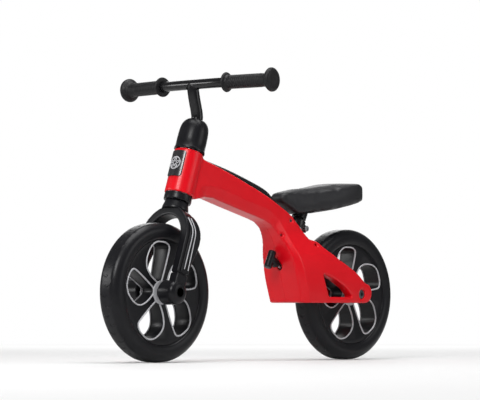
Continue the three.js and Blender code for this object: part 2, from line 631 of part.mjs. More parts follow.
function bodyScrews() {
  screwPlaces.forEach(([x, z], i) => {
    const head = SCREW_SEAT;
    const drive = bar(1.6, head + 1.4, head + 4, 'y', 6);
    const screw = solid(bar(SCREW_RADIUS, 3 - BEAM_HALF_WIDTH, head + 1, 'y', 12))
      .add(solid(bar(SCREW_HEAD, head + GAP, head + 2.6, 'y', 16)))
      .subtract(solid(drive));
    add(`body_screw_${i + 1}`, screw, 'steel').position.set(x, 0, z);
  });
}

// The steel inside the body: spine, head tube and headset.
function bodySteel() {
  const headClear = solid(bar(HEAD_RADIUS + GAP, 150, 320, 'z', 30), steering);
  const outerTube = solid(swept(spineCurve(), SPINE_RADIUS, 6, 14));
  const bore = solid(swept(spineCurve(), SPINE_RADIUS - 2, 6, 14));
  add('spine_tube', outerTube.subtract(headClear).subtract(bore), 'gloss');

  const group = new THREE.Group();
  group.applyMatrix4(steering);
  const pocket = HEAD_RADIUS - WALL;
  const tubeTop = HEAD_TOP - BEARING_WIDTH - 1;
  add('head_tube', solid(ring(STEERER_OUTER + 1, pocket, HEAD_BOTTOM + GAP, tubeTop)), 'steel', group);
  const raceInner = STEERER_OUTER + SLIDE_FIT;
  const upper = solid(ring(raceInner, pocket - GAP, tubeTop + GAP, HEAD_TOP - GAP));
  add('upper_headset_bearing', upper, 'steel', group);
  const cupBore = CUP_RADIUS - 3;
  const cup = turned([[STEERER_OUTER + 1, CUP_BOTTOM], [CUP_RADIUS - 1, CUP_BOTTOM],
    [CUP_RADIUS, CUP_BOTTOM + 1.5], [CUP_RADIUS, HEAD_BOTTOM - GAP], [cupBore, HEAD_BOTTOM - GAP],
    [cupBore, CUP_BOTTOM + 3], [STEERER_OUTER + 1, CUP_BOTTOM + 3]]);
  add('lower_headset_cup', solid(cup), 'black', group);
  const seatHeight = CUP_BOTTOM + 3 + GAP;
  const lower = solid(ring(raceInner, cupBore - GAP, seatHeight, seatHeight + BEARING_WIDTH));
  add('lower_headset_bearing', lower, 'steel', group);
  add('badge_plate', badgePlate(), 'black', group);
  bike.add(group);
}

// A thin curved plate with rounded corners on the front of the head.
function badgePlate() {
  const skin = solid(ring(HEAD_RADIUS + GAP, HEAD_RADIUS + 1.6, HEAD_BOTTOM, HEAD_TOP, 'z', HEAD_SIDES));
  const width = HEAD_RADIUS - 10.5;
  const low = HEAD_BOTTOM + 28;
  const high = HEAD_TOP - 6.5;
  const corner = 4;
  const outline = shapeOf([
    ...arc(width - corner, high - corner, corner, 0, 90, 4),
    ...arc(corner - width, high - corner, corner, 90, 180, 4),
    ...arc(corner - width, low + corner, corner, 180, 270, 4),
    ...arc(width - corner, low + corner, corner, 270, 360, 4),
  ]);
  return skin.intersect(solid(alongX(outline, 5, 40)));
}

// ---------------------------------------------------------------- seat
function seatTube() {
  const inner = POST_RADIUS + SLIDE_FIT;
  const tube = solid(ring(inner, SEAT_TUBE_OUTER, SEAT_TUBE_BOTTOM, COLLAR_TOP - 1));
  const tab = solid(box([-SEAT_TUBE_OUTER, -inner], [-7, 7], [KNOB_LEVEL - 12, SEAT_TUBE_BOTTOM + 12]));
  const slit = solid(box([0, 20], [-1, 1], [SEAT_TUBE_BOTTOM - 1, 50]));
  return tube.add(tab.subtract(solid(bar(inner, 0, 40)))).subtract(slit);
}

function seatCollar() {
  const from = COLLAR_TOP - COLLAR_HEIGHT;
  const hoop = solid(ring(SEAT_TUBE_OUTER + GAP, COLLAR_OUTER, from, COLLAR_TOP));
  const boltX = 1 - COLLAR_OUTER - COLLAR_BOLT_RADIUS;
  const lug = solid(box([boltX - COLLAR_BOLT_RADIUS, 2 - COLLAR_OUTER], [-6, 6], [from, COLLAR_TOP]));
  const middle = from + COLLAR_HEIGHT / 2;
  const hole = solid(bar(COLLAR_BOLT_RADIUS - 3 + GAP, -10, 10, 'y', 12).translate(boltX, 0, middle));
  const pinch = solid(box([boltX - 9, 1 - SEAT_TUBE_OUTER], [-1, 1], [from - 1, COLLAR_TOP + 1]));
  return { collar: hoop.add(lug).subtract(hole).subtract(pinch), bolt: [boltX, middle] };
}

function seatSupport() {
  const group = new THREE.Group();
  group.applyMatrix4(seating);
  add('seat_tube', seatTube(), 'steel', group);
  const { collar, bolt } = seatCollar();
  add('seat_collar', collar, 'black', group);
  const shank = solid(bar(COLLAR_BOLT_RADIUS - 3, -9, 6.6, 'y', 12))
    .add(solid(bar(COLLAR_BOLT_RADIUS, 6 + GAP, 9.5, 'y', 14)))
    .subtract(solid(bar(3, 8, 11, 'y', 6)));
  add('seat_collar_bolt', shank, 'steel', group).position.set(bolt[0], 0, bolt[1]);
  bike.add(group);
}

// The saddle's outlines, drawn from the head of the post.
const SEAT_SIDE = [
  [75.4, 25], [71.4, 33], [61.4, 36], [30.4, 37], [-4.6, 40], [-54.6, 48], [-99.6, 57],
  [-126.6, 60], [-141.6, 52], [-146.6, 38], [-141.6, 23], [-97.6, 13.5], [-38.6, 2.5], [23.4, -7],
  [37.4, -6], [49.4, 4], [73.4, 16],
];
const SEAT_HALF_PLAN = [
  [75.4, 12], [69.4, 19], [35.4, 27], [-4.6, 36], [-44.6, 47], [-79.6, 54], [-109.6, 55],
  [-134.6, 46], [-147.6, 26],
];

function seatPlan() {
  const half = SEAT_HALF_PLAN.map(([x, y]) => [postHead.x + x, y]);
  return shapeOf([...half, ...half.slice().reverse().map(([x, y]) => [x, -y])]);
}

// The saddle's base plate, which follows the underside, with a socket for the post.
function seatBase(clearance) {
  const corners = [[13.4, -4.5], [13.4, 3], [-102.6, 22.5], [-102.6, 15.5]];
  const plate = corners.map(([x, z]) => fromPost(x, z));
  const grown = shapeOf(inset(plate, -clearance));
  const half = 26 + clearance;
  const radius = POST_RADIUS + 4.5 + clearance;
  const [low, high] = [POST_TOP - 14 - clearance, POST_TOP + 5 + clearance];
  const socket = solid(bar(radius, low, high, 'z', 32), seating);
  return solid(alongY(grown, -half, half)).add(socket);
}

function seat() {
  const side = SEAT_SIDE.map(([x, z]) => fromPost(x, z));
  const block = solid(alongY(shapeOf(side), -THROUGH, THROUGH));
  const plan = new THREE.ExtrudeGeometry(seatPlan(), { depth: 200, bevelEnabled: false });
  const pad = block.intersect(solid(plan.translate(0, 0, postHead.z - 80))).subtract(seatBase(GAP));
  add('seat_pad', pad, 'rubber');
  const socketBore = solid(bar(POST_RADIUS + GAP, COLLAR_TOP - 8, POST_TOP + GAP, 'z', 32), seating);
  add('seat_base', seatBase(0).subtract(socketBore), 'black');
  add('seat_post', solid(bar(POST_RADIUS, POST_BOTTOM, POST_TOP, 'z', 32), seating), 'gloss');
}

// The T-shaped knob, its screw and the shoe that the screw pushes against the seat tube.
function seatLock() {
  const group = new THREE.Group();
  group.applyMatrix4(seating);
  const face = -(POST_RADIUS + SLIDE_FIT) + GAP;
  const shoe = solid(bar(6.5, face, face + 3.2, 'x', 28));
  add('clamp_shoe', shoe, 'steel', group).position.z = KNOB_LEVEL;
  const screwFrom = face + 3.2 + GAP;
  const screwTo = KNOB_REACH - 14;
  const screw = solid(bar(KNOB_SCREW_RADIUS, screwFrom, screwTo, 'x', 20));
  add('knob_screw', screw, 'steel', group).position.z = KNOB_LEVEL;
  const half = KNOB_BAR_LENGTH / 2;
  const tee = turned([[0, -half], [KNOB_BAR_RADIUS - 1, -half], [KNOB_BAR_RADIUS, 1 - half],
    [KNOB_BAR_RADIUS, half - 1], [KNOB_BAR_RADIUS - 1, half], [0, half]], 'z', 24);
  const knob = solid(tee.translate(KNOB_REACH, 0, 0))
    .add(solid(bar(9, KNOB_REACH - 17.5, KNOB_REACH - 2, 'x', 28)))
    .add(solid(bar(5, KNOB_REACH - 24, KNOB_REACH - 16.5, 'x', 24)))
    .subtract(solid(bar(KNOB_SCREW_RADIUS + GAP, 0, screwTo + GAP, 'x', 20)));
  add('seat_knob', knob, 'black', group).position.z = KNOB_LEVEL;
  bike.add(group);
}

// ---------------------------------------------------------------- the whole bike
wheel('front', frontAxle, FRONT_WHEEL_PHASE);
wheel('rear', rearAxle, 0);
axleSet('front', frontAxle, BOSS_INNER, frontNutSeat);
axleSet('rear', rearAxle, ARM_INNER, rearNutSeat);
fork();
steeringColumn();
handlebar();
bodyShells();
bodyScrews();
bodySteel();
seatSupport();
seat();
seatLock();

export default bike;
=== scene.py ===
"""A child's balance bike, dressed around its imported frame.

Pieces are modelled in millimetres in a local frame, such as the steering column's, and settled in
metres at the end. +X is forward, +Y is the rider's left and +Z is up.
"""

import json
import logging
import math
from collections.abc import Callable
from dataclasses import dataclass
from enum import Enum

import bpy
import numpy as np
from mathutils import Matrix, Vector


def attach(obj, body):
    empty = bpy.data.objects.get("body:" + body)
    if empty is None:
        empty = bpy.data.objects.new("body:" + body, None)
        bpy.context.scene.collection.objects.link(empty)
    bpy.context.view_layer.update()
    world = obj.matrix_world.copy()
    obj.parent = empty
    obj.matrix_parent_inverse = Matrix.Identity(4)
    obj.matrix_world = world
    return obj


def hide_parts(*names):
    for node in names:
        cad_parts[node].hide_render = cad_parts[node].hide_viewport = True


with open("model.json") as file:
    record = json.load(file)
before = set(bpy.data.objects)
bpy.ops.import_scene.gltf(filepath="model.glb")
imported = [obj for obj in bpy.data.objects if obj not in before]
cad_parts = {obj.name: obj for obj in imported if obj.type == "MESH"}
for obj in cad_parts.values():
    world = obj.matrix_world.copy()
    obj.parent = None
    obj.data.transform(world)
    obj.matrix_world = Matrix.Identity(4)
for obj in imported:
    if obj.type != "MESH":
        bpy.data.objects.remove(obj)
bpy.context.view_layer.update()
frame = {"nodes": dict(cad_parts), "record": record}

log = logging.getLogger("balance_bike")

MM = 0.001
HEAD_LEAN = math.radians(19)
SEAT_LEAN = math.radians(25)
FRONT_AXLE = Matrix.Translation((0.26, 0, 0.125))
REAR_AXLE = Matrix.Translation((-0.26, 0, 0.125))
STEERING = FRONT_AXLE @ Matrix.Rotation(-HEAD_LEAN, 4, "Y")
SEATING = Matrix.Translation((-0.086, 0, 0.175)) @ Matrix.Rotation(-SEAT_LEAN, 4, "Y")
WORLD = Matrix.Identity(4)
ALONG_Y = Matrix.Rotation(-math.pi / 2, 4, "X")
MIRROR = Matrix.Scale(-1, 4, (0, 1, 0))

Points = list[tuple[float, float]]
Step = Callable[[], object]


class Side(Enum):
    """The two sides of the bike and the sign of Y on each."""

    LEFT = 1
    RIGHT = -1

    @property
    def word(self) -> str:
        """The side's name as the nodes spell it."""
        return self.name.lower()


class Grain(Enum):
    """The kinds of fine surface that a finish can have."""

    MOULDED = "moulded"
    FOAM = "foam"
    LEATHER = "leather"
    BRUSHED = "brushed"


# ---------------------------------------------------------------- finishes
@dataclass(frozen=True)
class Finish:
    """One procedural finish: a base colour with slight variation, a grain and worn edges."""

    name: str
    colour: tuple[float, float, float]
    roughness: float
    grain: Grain = Grain.MOULDED
    grain_scale: float = 900.0
    grain_depth: float = 0.04
    spread: float = 0.12
    metallic: float = 0.0
    coat: float = 0.0
    specular: float = 0.5
    edge: float = 0.15

    def build(self) -> bpy.types.Material:
        """Makes the material.

        Returns:
            The node material for this finish.
        """
        material = bpy.data.materials.new(self.name)
        material.use_nodes = True
        tree = material.node_tree
        nodes, link = tree.nodes, tree.links.new
        shader = nodes["Principled BSDF"]
        shader.inputs["Metallic"].default_value = self.metallic
        shader.inputs["Coat Weight"].default_value = self.coat
        shader.inputs["Coat Roughness"].default_value = 0.12
        shader.inputs["Specular IOR Level"].default_value = self.specular
        place = nodes.new("ShaderNodeTexCoord").outputs["Object"]

        blotch = nodes.new("ShaderNodeTexNoise")
        blotch.inputs["Scale"].default_value = 22
        blotch.inputs["Detail"].default_value = 5
        link(place, blotch.inputs["Vector"])

        tone = nodes.new("ShaderNodeMix")
        tone.data_type = "RGBA"
        dark = [c * (1 - self.spread) for c in self.colour]
        light = [min(1.0, c * (1 + self.spread) + 0.002) for c in self.colour]
        tone.inputs["A"].default_value = (*dark, 1)
        tone.inputs["B"].default_value = (*light, 1)
        link(blotch.outputs["Fac"], tone.inputs["Factor"])

        worn = nodes.new("ShaderNodeMix")
        worn.data_type = "RGBA"
        edge_colour = [min(1.0, c * 1.5 + 0.03) for c in self.colour]
        worn.inputs["B"].default_value = (*edge_colour, 1)
        sharp = nodes.new("ShaderNodeMapRange")
        sharp.inputs["From Min"].default_value = 0.53
        sharp.inputs["From Max"].default_value = 0.62
        sharp.inputs["To Max"].default_value = self.edge
        link(nodes.new("ShaderNodeNewGeometry").outputs["Pointiness"], sharp.inputs["Value"])
        link(sharp.outputs["Result"], worn.inputs["Factor"])
        link(tone.outputs["Result"], worn.inputs["A"])
        link(worn.outputs["Result"], shader.inputs["Base Color"])

        rough = nodes.new("ShaderNodeMapRange")
        rough.inputs["To Min"].default_value = max(0.02, self.roughness - 0.05)
        rough.inputs["To Max"].default_value = min(1.0, self.roughness + 0.07)
        link(blotch.outputs["Fac"], rough.inputs["Value"])
        link(rough.outputs["Result"], shader.inputs["Roughness"])

        bump = nodes.new("ShaderNodeBump")
        bump.inputs["Strength"].default_value = self.grain_depth
        bump.inputs["Distance"].default_value = 0.0006
        link(self._height(tree, place), bump.inputs["Height"])
        link(bump.outputs["Normal"], shader.inputs["Normal"])
        return material

    def _height(self, tree: bpy.types.NodeTree, place: bpy.types.NodeSocket) -> bpy.types.NodeSocket:
        """The grain's height.

        Args:
            tree: the material's nodes.
            place: the coordinates that the grain follows.

        Returns:
            The socket that gives the height.
        """
        if self.grain in (Grain.LEATHER, Grain.FOAM):
            cells = tree.nodes.new("ShaderNodeTexVoronoi")
            cells.inputs["Scale"].default_value = self.grain_scale
            if self.grain is Grain.LEATHER:
                cells.feature = "DISTANCE_TO_EDGE"
            tree.links.new(place, cells.inputs["Vector"])
            return cells.outputs["Distance"]
        noise = tree.nodes.new("ShaderNodeTexNoise")
        noise.inputs["Scale"].default_value = self.grain_scale
        noise.inputs["Detail"].default_value = 3
        if self.grain is Grain.BRUSHED:
            stretch = tree.nodes.new("ShaderNodeMapping")
            stretch.inputs["Scale"].default_value = (1, 0.06, 1)
            tree.links.new(place, stretch.inputs["Vector"])
            place = stretch.outputs["Vector"]
        tree.links.new(place, noise.inputs["Vector"])
        return noise.outputs["Fac"]


RED = Finish("red_plastic", (0.64, 0.0012, 0.008), 0.30, grain_scale=1400, grain_depth=0.03,
             spread=0.05, coat=0.06, specular=0.24, edge=0.08)
BLACK = Finish("matte_black_plastic", (0.0062, 0.0062, 0.0078), 0.30, grain_scale=1600,
               grain_depth=0.08, specular=0.2, edge=0.25)
CORE = Finish("wheel_core_plastic", (0.0062, 0.0062, 0.0078), 0.30, grain_scale=1500,
              grain_depth=0.06, specular=0.2, edge=0.2)
FOAM = Finish("tyre_foam", (0.0062, 0.0062, 0.0078), 0.32, Grain.FOAM, grain_scale=1300,
              grain_depth=0.06, specular=0.2, edge=0.2)
GREY = Finish("grey_plastic", (0.42, 0.42, 0.44), 0.40, grain_scale=1400, grain_depth=0.04,
              edge=0.1)
PAINT = Finish("gloss_black_paint", (0.0055, 0.0055, 0.0065), 0.22, grain_scale=500,
               grain_depth=0.03, coat=0.1, specular=0.3)
STEEL = Finish("steel", (0.42, 0.43, 0.45), 0.30, Grain.BRUSHED, grain_scale=2500,
               grain_depth=0.10, metallic=1.0)
# A steel finish whose colour is darkened as painted shade: real steel, with the shade inside the axle
# recesses and screw holes painted into its colour.
STEEL_DARKENED_AS_HOLE_SHADE = Finish("dark_steel", (0.13, 0.13, 0.14), 0.28, Grain.BRUSHED, grain_scale=2500,
                    grain_depth=0.10, metallic=0.9)
BADGE = Finish("badge", (0.016, 0.016, 0.018), 0.25, grain_scale=1500, grain_depth=0.03, coat=0.3)
GRIP = Finish("grip_rubber", (0.008, 0.008, 0.009), 0.46, Grain.FOAM, grain_scale=1500,
              grain_depth=0.15, specular=0.25, edge=0.2)
VINYL = Finish("seat_vinyl", (0.0085, 0.0085, 0.0105), 0.46, Grain.LEATHER, grain_scale=650,
               grain_depth=0.18, specular=0.36, edge=0.12)

FINISHES = {f.name: f for f in (RED, BLACK, CORE, FOAM, GREY, PAINT, STEEL, STEEL_DARKENED_AS_HOLE_SHADE, BADGE,
                                GRIP, VINYL)}
MATERIALS: dict[str, bpy.types.Material] = {}


def material_of(finish: Finish) -> bpy.types.Material:
    """The material of a finish, made on first use.

    Args:
        finish: the finish.

    Returns:
        Its one material.
    """
    if finish.name not in MATERIALS:
        MATERIALS[finish.name] = finish.build()
    return MATERIALS[finish.name]


def dress(piece: bpy.types.Object, finish: Finish) -> None:
    """Gives a piece one finish all over."""
    piece.data.materials.clear()
    piece.data.materials.append(material_of(finish))


# ---------------------------------------------------------------- modelling
def pick(piece: bpy.types.Object) -> None:
    """Selects one object alone and makes it the active one.

    Args:
        piece: the object to select.
    """
    bpy.ops.object.select_all(action="DESELECT")
    piece.select_set(True)
    bpy.context.view_layer.objects.active = piece


def edit(piece: bpy.types.Object, *steps: Step) -> None:
    """Runs edit-mode operators on the whole of a piece.

    Args:
        piece: the object to edit.
        steps: functions that each call one operator.
    """
    pick(piece)
    bpy.ops.object.mode_set(mode="EDIT")
    bpy.ops.mesh.select_all(action="SELECT")
    for step in steps:
        step()
    bpy.ops.object.mode_set(mode="OBJECT")


def merge(distance: float = 0.001) -> Step:
    """A step that merges vertices closer than a distance."""
    return lambda: bpy.ops.mesh.remove_doubles(threshold=distance)


def outward() -> None:
    """A step that turns every face outwards."""
    bpy.ops.mesh.normals_make_consistent(inside=False)


def finish_with(piece: bpy.types.Object, kind: str, **values: object) -> bpy.types.Object:
    """Adds a modifier to a piece and applies it.

    Args:
        piece: the object to change.
        kind: the modifier's type.
        values: its settings.

    Returns:
        The same piece.
    """
    pick(piece)
    modifier = piece.modifiers.new(kind.lower(), kind)
    for key, value in values.items():
        setattr(modifier, key, value)
    bpy.ops.object.modifier_apply(modifier=modifier.name)
    return piece


def smooth(piece: bpy.types.Object, angle: float = 35) -> None:
    """Shades a piece smoothly except across edges sharper than an angle in degrees."""
    pick(piece)
    bpy.ops.object.shade_smooth_by_angle(angle=math.radians(angle))


def cut(piece: bpy.types.Object, tool: bpy.types.Object, how: str = "DIFFERENCE") -> bpy.types.Object:
    """Combines a piece with a tool shape, and removes the tool.

    Args:
        piece: the object to keep.
        tool: the shape to subtract, add or intersect.
        how: the boolean operation.

    Returns:
        The same piece.
    """
    finish_with(piece, "BOOLEAN", operation=how, solver="MANIFOLD", object=tool)
    bpy.data.objects.remove(tool)
    return piece


def joined(pieces: list[bpy.types.Object]) -> bpy.types.Object:
    """Joins pieces into the first of them.

    Args:
        pieces: the objects to join.

    Returns:
        The first object, which now holds them all.
    """
    pick(pieces[0])
    for piece in pieces[1:]:
        piece.select_set(True)
    if len(pieces) > 1:
        bpy.ops.object.join()
    return pieces[0]


def hexagon(radius: float, depth: float, height: float) -> bpy.types.Object:
    """A six-sided cutter for a hex socket on the Z axis.

    Args:
        radius: its radius to the corners.
        depth: how tall it is.
        height: the height of its middle.

    Returns:
        The cutter.
    """
    bpy.ops.object.select_all(action="DESELECT")
    bpy.ops.mesh.primitive_cylinder_add(vertices=6, radius=radius, depth=depth, location=(0, 0, height))
    return bpy.context.object


def lathe(name: str, profile: Points, steps: int = 64, turn: Matrix = WORLD) -> bpy.types.Object:
    """Spins a closed profile about the Z axis.

    Args:
        name: the piece's name.
        profile: (radius, height) pairs in order round the section.
        steps: how many sides the round has.
        turn: a turn applied to the finished round.

    Returns:
        The new object.
    """
    bpy.ops.object.select_all(action="DESELECT")
    bpy.ops.mesh.primitive_circle_add(vertices=len(profile), radius=1, fill_type="NOTHING")
    piece = bpy.context.object
    piece.name = piece.data.name = name
    for vertex, (radius, height) in zip(piece.data.vertices, profile):
        vertex.co = (radius, 0, height)
    turn_round = {"angle": 2 * math.pi, "center": (0, 0, 0), "axis": (0, 0, 1)}
    edit(piece, lambda: bpy.ops.mesh.spin(steps=steps, **turn_round), merge(),
         lambda: bpy.ops.mesh.dissolve_degenerate(threshold=0.001), outward)
    piece.data.transform(turn)
    return piece


def rounded(points: Points, radius: float, steps: int = 4, keep: tuple[int, ...] = ()) -> Points:
    """Rounds the corners of a closed outline.

    Args:
        points: the outline's corners.
        radius: how far from a corner the rounding starts.
        steps: how many edges each round has.
        keep: the corners, by number, that stay sharp.

    Returns:
        The new outline.
    """
    result: Points = []
    for i, point in enumerate(points):
        here = Vector(point)
        before, after = Vector(points[i - 1]), Vector(points[(i + 1) % len(points)])
        reach = min(radius, (before - here).length * 0.45, (after - here).length * 0.45)
        if i in keep or reach < 0.05 or (abs(here.x) < 0.01):
            result.append(point)
            continue
        start = here + (before - here).normalized() * reach
        end = here + (after - here).normalized() * reach
        for k in range(steps + 1):
            t = k / steps
            spot = start.lerp(here, t).lerp(here.lerp(end, t), t)
            result.append((spot.x, spot.y))
    return result


def through(points: Points, per_span: int = 8, closed: bool = False) -> Points:
    """A smooth line through points.

    Args:
        points: the places that it passes through.
        per_span: how many points to make for each span.
        closed: whether the line joins up with its start.

    Returns:
        The finer line.
    """
    count = len(points)
    result: Points = []
    for i in range(count if closed else count - 1):
        if closed:
            p0, p1, p2, p3 = (Vector(points[(i + k) % count]) for k in (-1, 0, 1, 2))
        else:
            p0, p1, p2, p3 = (Vector(points[min(max(i + k, 0), count - 1)]) for k in (-1, 0, 1, 2))
        for k in range(per_span):
            t = k / per_span
            spot = 0.5 * (2 * p1 + (p2 - p0) * t + (2 * p0 - 5 * p1 + 4 * p2 - p3) * t * t
                          + (3 * p1 - p0 - 3 * p2 + p3) * t ** 3)
            result.append((spot.x, spot.y))
    if not closed:
        result.append(points[-1])
    return result


def prism(name: str, outline: Points, low: float, high: float, turn: Matrix = WORLD) -> bpy.types.Object:
    """Extrudes a closed outline up the Z axis.

    Args:
        name: the piece's name.
        outline: (x, y) corners in order.
        low: the height of its lower face.
        high: the height of its upper face.
        turn: a turn applied to the finished prism.

    Returns:
        The new object.
    """
    bpy.ops.object.select_all(action="DESELECT")
    bpy.ops.mesh.primitive_circle_add(vertices=len(outline), radius=1, fill_type="NGON")
    piece = bpy.context.object
    piece.name = piece.data.name = name
    for vertex, (x, y) in zip(piece.data.vertices, outline):
        vertex.co = (x, y, low)
    rise = {"value": (0, 0, high - low)}
    edit(piece, lambda: bpy.ops.mesh.extrude_region_move(TRANSFORM_OT_translate=rise),
         lambda: bpy.ops.mesh.select_all(action="SELECT"), outward)
    piece.data.transform(turn)
    return piece


def block(name: str, low: tuple[float, float, float], high: tuple[float, float, float],
          bevel: float = 0.0) -> bpy.types.Object:
    """A box between two corners, with bevelled edges if asked.

    Args:
        name: the piece's name.
        low: its corner with the least x, y and z.
        high: its opposite corner.
        bevel: how wide its bevels are.

    Returns:
        The new object.
    """
    bpy.ops.object.select_all(action="DESELECT")
    bpy.ops.mesh.primitive_cube_add(size=1)
    piece = bpy.context.object
    piece.name = piece.data.name = name
    lo, hi = Vector(low), Vector(high)
    piece.data.transform(Matrix.Translation((lo + hi) / 2) @ Matrix.Diagonal((*(hi - lo), 1)))
    if bevel:
        edit(piece, lambda: bpy.ops.mesh.bevel(offset=bevel, segments=3, affect="EDGES"))
    return piece


def tube(name: str, path: list[tuple[float, float, float]], radius: float, sides: int = 16,
         closed: bool = False) -> bpy.types.Object:
    """A round rod along a line.

    Args:
        name: the piece's name.
        path: the points of its middle line.
        radius: its radius.
        sides: how many sides its section has, a multiple of 4.
        closed: whether the line joins up with its start.

    Returns:
        The new object.
    """
    curve = bpy.data.curves.new(name, "CURVE")
    curve.dimensions = "3D"
    curve.bevel_depth = radius
    curve.bevel_resolution = sides // 4 - 1
    curve.use_fill_caps = not closed
    line = curve.splines.new("POLY")
    line.points.add(len(path) - 1)
    for point, place in zip(line.points, path):
        point.co = (*place, 1)
    line.use_cyclic_u = closed
    piece = bpy.data.objects.new(name, curve)
    bpy.context.scene.collection.objects.link(piece)
    pick(piece)
    bpy.ops.object.convert(target="MESH")
    piece = bpy.context.object
    edit(piece, merge(), outward)
    return piece


def copy_of(nodes: list[str], name: str, place: Matrix = WORLD) -> bpy.types.Object:
    """A merged copy of CAD nodes, in millimetres in a local frame.

    Args:
        nodes: the CAD nodes to copy.
        name: the new piece's name.
        place: the local frame.

    Returns:
        The new object.
    """
    copies = []
    for node in nodes:
        copy = bpy.data.objects.new(name, frame["nodes"][node].data.copy())
        bpy.context.scene.collection.objects.link(copy)
        copies.append(copy)
    piece = joined(copies)
    piece.name = piece.data.name = name
    piece.data.transform(Matrix.Scale(1 / MM, 4) @ place.inverted())
    edit(piece, merge(0.01))
    return piece


def mould(piece: bpy.types.Object, voxel: float, passes: int, strength: float = 0.5) -> bpy.types.Object:
    """Rounds every edge of a piece as moulding does.

    Args:
        piece: the object to round.
        voxel: the size of the new mesh's squares, in millimetres.
        passes: how often it is smoothed.
        strength: how strongly each pass smooths.

    Returns:
        The same piece.
    """
    finish_with(piece, "REMESH", mode="VOXEL", voxel_size=voxel, use_smooth_shade=True)
    return finish_with(piece, "SMOOTH", factor=strength, iterations=passes)


def settle(piece: bpy.types.Object, body: str, finish: Finish, place: Matrix = WORLD,
           stands_for: tuple[str, ...] = (), angle: float = 35) -> bpy.types.Object:
    """Puts a finished piece in its place in metres, on its body and in its finish.

    Args:
        piece: the object, in millimetres in a local frame.
        body: the body that it moves with.
        finish: its finish.
        place: the local frame.
        stands_for: the CAD nodes that it replaces.
        angle: the edge angle, in degrees, up to which it is shaded smoothly.

    Returns:
        The same piece.
    """
    matrix = place @ Matrix.Scale(MM, 4)
    piece.data.transform(matrix)
    if matrix.determinant() < 0:
        piece.data.flip_normals()
    smooth(piece, angle)
    dress(piece, finish)
    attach(piece, body)
    if stands_for:
        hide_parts(*stands_for)
    log.info("%s: %d faces on %s", piece.name, len(piece.data.polygons), body)
    return piece


